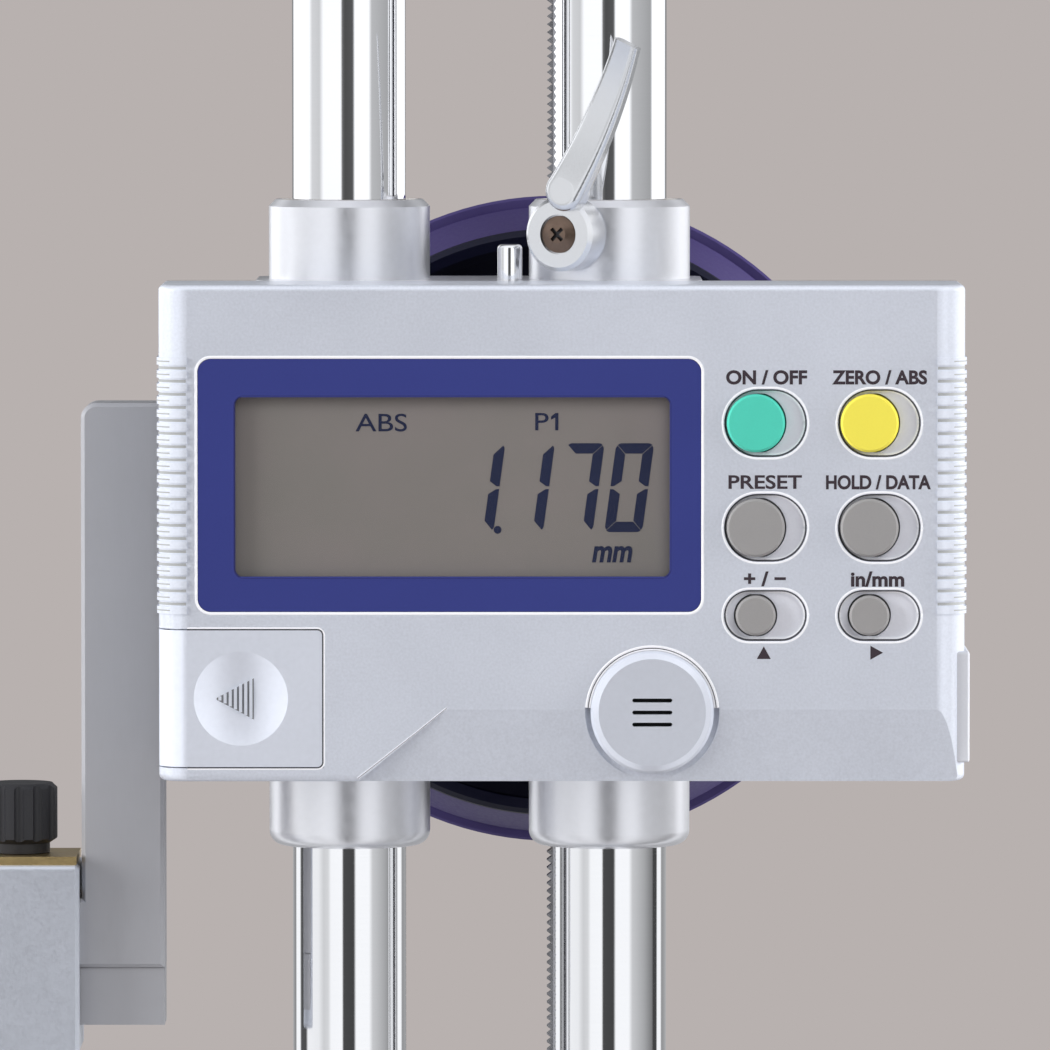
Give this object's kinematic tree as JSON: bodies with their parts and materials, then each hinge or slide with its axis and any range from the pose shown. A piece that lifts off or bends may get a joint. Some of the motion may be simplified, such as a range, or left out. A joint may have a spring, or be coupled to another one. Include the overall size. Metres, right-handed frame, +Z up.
{
  "type": "height gauge",
  "caption": "Digital height gauge: a slider with display housing, scriber and rear handwheel runs on two toothed columns standing on a heavy base.",
  "frame": {"origin": "on the ground underside of the base, midway between the two columns", "axes": "+Z up along the columns, +X to the right as seen from the display side, -Y towards the reader"},
  "size_m": [0.2082, 0.142, 0.482],
  "materials": {
    "ground_iron": "ground satin",
    "chrome_columns": "ground and hard chromed",
    "rack_steel": "machined",
    "satin_alloy": "satin",
    "silver_paint": "fine sandy silver paint",
    "silver_plastic": "silver, matt",
    "blue_plastic": "deep blue, satin",
    "clear_lens": "clear, polished",
    "lcd_grey": "grey liquid crystal",
    "board_green": "solder resist",
    "black_plastic": "fine grain",
    "green_key": "satin",
    "yellow_key": "satin",
    "grey_key": "satin",
    "port_grey": "matt",
    "arm_steel": "ground",
    "lever_steel": "satin chrome",
    "bush_brass": "machined",
    "bronze_screw": "browned, polished",
    "dark_screws": "blackened",
    "cell_steel": "nickel plated",
    "violet_anodised": "violet anodised",
    "carbide": "ground carbide"
  },
  "bodies": {
    "frame": {"base": "ground_iron", "column_screws": "dark_screws", "column_left": "chrome_columns", "column_right": "chrome_columns", "rack_measuring": "rack_steel", "rack_feed": "rack_steel", "top_bridge": "satin_alloy", "bridge_screws": "dark_screws"},
    "slider": {"slider_body": "satin_alloy", "bush_upper_left": "bush_brass", "bush_lower_left": "bush_brass", "bush_upper_right": "bush_brass", "bush_lower_right": "bush_brass", "rear_case": "satin_alloy", "rear_case_screws": "dark_screws", "wheel_bush": "bush_brass", "encoder_plate": "satin_alloy", "encoder_head": "black_plastic", "front_cover": "silver_paint", "housing_back": "satin_alloy", "housing_screws": "dark_screws", "display_bezel": "blue_plastic", "display_lens": "clear_lens", "lcd_panel": "lcd_grey", "circuit_board": "board_green", "key_switches": "black_plastic", "battery": "cell_steel", "battery_contact": "cell_steel", "sounder_cap": "silver_plastic", "sounder": "black_plastic", "data_port_socket": "black_plastic", "measuring_arm": "arm_steel", "arm_screws": "dark_screws", "scriber_clamp": "arm_steel", "scriber_clamp_pad": "bush_brass", "scriber_clamp_washer": "bush_brass", "dowel_pin": "chrome_columns"},
    "handwheel": {"wheel_shaft": "rack_steel", "handwheel_rim": "violet_anodised", "handwheel_disc": "black_plastic", "handwheel_screw": "dark_screws"},
    "feed_pinion": {"feed_pinion": "rack_steel", "feed_gear": "bush_brass"},
    "measuring_pinion": {"measuring_pinion": "rack_steel", "encoder_disc": "rack_steel"},
    "on_off_key": {"on_off_button": "green_key"},
    "zero_abs_key": {"zero_abs_button": "yellow_key"},
    "preset_key": {"preset_button": "grey_key"},
    "hold_data_key": {"hold_data_button": "grey_key"},
    "plus_minus_key": {"plus_minus_button": "grey_key"},
    "inch_mm_key": {"inch_mm_button": "grey_key"},
    "battery_cover": {"battery_cover": "silver_plastic"},
    "data_port_cover": {"data_port_cover": "port_grey"},
    "clamp_lever": {"clamp_lever": "lever_steel", "clamp_lever_screw": "bronze_screw", "clamp_spindle": "rack_steel"},
    "clamp_shoe": {"clamp_shoe": "bush_brass"},
    "scriber_clamp_screw": {"scriber_clamp_screw": "black_plastic"},
    "scriber": {"scriber": "arm_steel", "scriber_tip": "carbide"}
  },
  "joints": [
    {"name": "slider_travel", "type": "slide", "parent": "frame", "child": "slider", "axis": [0, 0, 1], "range_m": [-0.15, 0.15]},
    {"name": "feed_pinion_spin", "type": "hinge", "parent": "slider", "child": "feed_pinion", "pos_m": [0.00707, 0, 0.22341], "axis": [0, 1, 0], "range_deg": [-2150, 2150]},
    {"name": "handwheel_spin", "type": "hinge", "parent": "slider", "child": "handwheel", "pos_m": [0.0119, 0, 0.2344], "axis": [0, 1, 0], "range_deg": [-4300, 4300]},
    {"name": "measuring_pinion_spin", "type": "hinge", "parent": "slider", "child": "measuring_pinion", "pos_m": [-0.00817, 0, 0.236], "axis": [0, 1, 0], "range_deg": [-2150, 2150]},
    {"name": "clamp_lever_swing", "type": "hinge", "parent": "slider", "child": "clamp_lever", "pos_m": [0.0205, 0, 0.2818], "axis": [-0.454, -0.891, 0], "range_deg": [-40, 66]},
    {"name": "clamp_shoe_slide", "type": "slide", "parent": "slider", "child": "clamp_shoe", "axis": [-0.454, -0.891, 0], "range_m": [-0.0001, 0.00016]},
    {"name": "on_off_press", "type": "slide", "parent": "slider", "child": "on_off_key", "axis": [0, 1, 0], "range_m": [0, 0.0008], "stiffness_N_per_m": 1500, "springref_m": -0.0006},
    {"name": "zero_abs_press", "type": "slide", "parent": "slider", "child": "zero_abs_key", "axis": [0, 1, 0], "range_m": [0, 0.0008], "stiffness_N_per_m": 1500, "springref_m": -0.0006},
    {"name": "preset_press", "type": "slide", "parent": "slider", "child": "preset_key", "axis": [0, 1, 0], "range_m": [0, 0.0008], "stiffness_N_per_m": 1500, "springref_m": -0.0006},
    {"name": "hold_data_press", "type": "slide", "parent": "slider", "child": "hold_data_key", "axis": [0, 1, 0], "range_m": [0, 0.0008], "stiffness_N_per_m": 1500, "springref_m": -0.0006},
    {"name": "plus_minus_press", "type": "slide", "parent": "slider", "child": "plus_minus_key", "axis": [0, 1, 0], "range_m": [0, 0.0008], "stiffness_N_per_m": 1500, "springref_m": -0.0006},
    {"name": "inch_mm_press", "type": "slide", "parent": "slider", "child": "inch_mm_key", "axis": [0, 1, 0], "range_m": [0, 0.0008], "stiffness_N_per_m": 1500, "springref_m": -0.0006},
    {"name": "battery_cover_slide", "type": "slide", "parent": "slider", "child": "battery_cover", "axis": [-1, 0, 0], "range_m": [0, 0.026]},
    {"name": "data_port_cover_pull", "type": "slide", "parent": "slider", "child": "data_port_cover", "axis": [1, 0, 0], "range_m": [0, 0.006]},
    {"name": "scriber_clamp_turn", "type": "hinge", "parent": "slider", "child": "scriber_clamp_screw", "pos_m": [-0.0724, -0.003, 0.19], "axis": [0, 0, 1], "range_deg": [0, 720]},
    {"name": "scriber_slide", "type": "slide", "parent": "slider", "child": "scriber", "axis": [1, 0, 0], "range_m": [-0.01, 0.015]}
  ],
  "couplings": [
    {"joint": "feed_pinion_spin", "follows": "slider_travel", "rad_per_m": 250},
    {"joint": "handwheel_spin", "follows": "slider_travel", "rad_per_m": -500},
    {"joint": "measuring_pinion_spin", "follows": "slider_travel", "rad_per_m": -250},
    {"joint": "clamp_shoe_slide", "follows": "clamp_lever_swing", "m_per_rad": 0.00012732}
  ]
}
